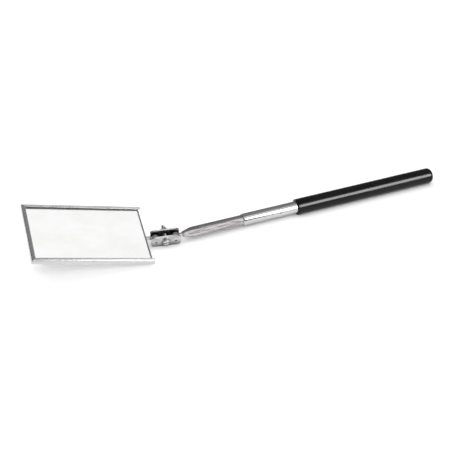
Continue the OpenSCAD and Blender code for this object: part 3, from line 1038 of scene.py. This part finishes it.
def panel(name, direction, distance, size, radiance, about, lights=(), shadows=()):
    """
    A soft panel that faces the object, with the light that it gives off per area. It can be
    kept to the objects that it lights, or to those that cast its shadows.
    """
    light = bpy.data.lights.new(name, "AREA")
    light.shape = "RECTANGLE"
    light.size, light.size_y = size
    light.energy = radiance * size[0] * size[1] * math.pi
    obj = bpy.data.objects.new(name, light)
    bpy.context.scene.collection.objects.link(obj)
    towards = Vector(direction).normalized()
    obj.location = Vector(about) + towards * distance
    obj.rotation_euler = towards.to_track_quat("Z", "Y").to_euler()
    if lights:
        obj.light_linking.receiver_collection = collected(name + "_lights", lights)
    if shadows:
        obj.light_linking.blocker_collection = collected(name + "_shadows", shadows)
    return obj


def named(*starts):
    """The object's pieces whose names start so."""
    return [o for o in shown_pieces() if o.name.startswith(starts)]


def build_world():
    """A dim studio: darkest at and below the horizon, brighter overhead. The camera sees it as
    white.
    """
    world = bpy.data.worlds.new("studio")
    world.use_nodes = True
    bpy.context.scene.world = world
    nodes, links = world.node_tree.nodes, world.node_tree.links
    nodes.clear()
    coords = nodes.new("ShaderNodeTexCoord")
    split = nodes.new("ShaderNodeSeparateXYZ")
    ramp = nodes.new("ShaderNodeValToRGB")
    stops = ((0.0, 0.08), (0.12, 0.1), (0.3, 0.25), (0.6, 0.27), (1.0, 0.33))
    while len(ramp.color_ramp.elements) < len(stops):
        ramp.color_ramp.elements.new(0.5)
    for element, (where, grey) in zip(ramp.color_ramp.elements, stops):
        element.position = where
        element.color = (grey, grey, grey, 1)
    white = nodes.new("ShaderNodeBackground")
    white.inputs["Color"].default_value = (1, 1, 1, 1)
    white.inputs["Strength"].default_value = 1.1
    dim = nodes.new("ShaderNodeBackground")
    path = nodes.new("ShaderNodeLightPath")
    mix = nodes.new("ShaderNodeMixShader")
    out = nodes.new("ShaderNodeOutputWorld")
    links.new(coords.outputs["Generated"], split.inputs["Vector"])
    links.new(split.outputs["Z"], ramp.inputs["Fac"])
    links.new(ramp.outputs["Color"], dim.inputs["Color"])
    links.new(path.outputs["Is Camera Ray"], mix.inputs["Fac"])
    links.new(dim.outputs["Background"], mix.inputs[1])
    links.new(white.outputs["Background"], mix.inputs[2])
    links.new(mix.outputs["Shader"], out.inputs["Surface"])


def build_lights():
    """
    An overhead softbox for every part, one kept to the floor, a tall front one for the bright
    bands on the metal, and cards that are each kept to the parts that reflect them. The card
    under the floor's level lights the undersides of the case's lips, which the mirror shows.
    """
    middle = Vector((-60, 0, 0)) * MM
    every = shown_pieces()
    head = [o for o in every if body_of(o) == ["mirror_head"]]
    off_head = [o for o in every if o not in head]
    face = named("mirror_glass", "mirror_silver")
    case = [o for o in head if o not in face]
    vinyl, chrome = named("grip_sleeve"), named("outer_tube")
    satin = named("inner_tube", "ball_stud", "mirror_stem")
    clamp = named("clamp_front", "clamp_rear_stamping")
    rest = [o for o in every if o not in vinyl + satin + clamp + face]
    floor = [bpy.data.objects["studio_floor"]]

    top = panel("overhead_softbox", (0.0, 0.08, 1.0), 1.5, (2.4, 2.4), OVERHEAD, middle,
                shadows=off_head)
    top.visible_glossy = top.visible_transmission = False
    panel("floor_softbox", (-0.3, -0.68, 0.66), 2.6, (1.0, 1.0), FLOOR_FILL, middle,
          lights=floor)
    panel("key_softbox", (0.477, -0.76, 0.44), 1.3, (0.47, 0.75), KEY, middle, lights=rest)
    panel("grip_softbox", (0.477, -0.733, 0.485), 1.3, (0.7, 0.62), GRIP_KEY, middle,
          lights=vinyl)
    panel("satin_card", (0.15, -0.75, 0.6), 1.3, (2.2, 1.7), SATIN_CARD, middle,
          lights=satin + clamp)
    panel("chrome_card", (0.4, -0.4, 0.85), 1.3, (1.2, 0.7), CHROME_CARD, middle, lights=chrome)
    panel("mirror_card", (0.45, 0.4, 0.8), 1.4, (2.6, 2.6), MIRROR_CARD, middle, lights=face)
    panel("case_card", (0.47, -0.12, 0.86), 1.3, (1.1, 0.5), CASE_CARD, middle, lights=case)
    panel("lip_card", (0.42, 0.58, 0.68), 1.3, (0.8, 0.32), LIP_CARD, middle, lights=case)
    under = panel("under_card", (0.2, 0.82, -0.53), 1.3, (1.2, 1.2), UNDER_CARD, middle,
                  lights=case, shadows=vinyl)
    under.visible_camera = False
    panel("clamp_card", (0.1, 0.1, 1.0), 1.3, (1.2, 0.9), CLAMP_CARD, middle, lights=clamp)


def build_camera():
    """The photograph's viewpoint, given from the ball at the tube's end."""
    elevation, azimuth, from_tube_ball = 33.71, 23.32, Vector((-207.7, -576.3, 417.7))
    camera = bpy.data.cameras.new("camera")
    camera.sensor_width = 36.0
    camera.lens = 79.03
    camera.clip_start = 0.01
    obj = bpy.data.objects.new("camera", camera)
    bpy.context.scene.collection.objects.link(obj)
    obj.location = TUBE_BALL + from_tube_ball * MM
    obj.rotation_euler = (math.radians(90 - elevation), 0, math.radians(-azimuth))
    bpy.context.scene.camera = obj


build_grip()
build_outer_tube()
build_inner_tube()
build_rods_and_balls()
build_clamp_plates()
build_screw()
build_nut()
build_washer()
build_case()
build_glass()
build_bracket()
build_rivets()
dress_cad_nodes()
build_floor()
build_world()
build_lights()
build_camera()
bpy.context.scene.view_settings.view_transform = "Standard"
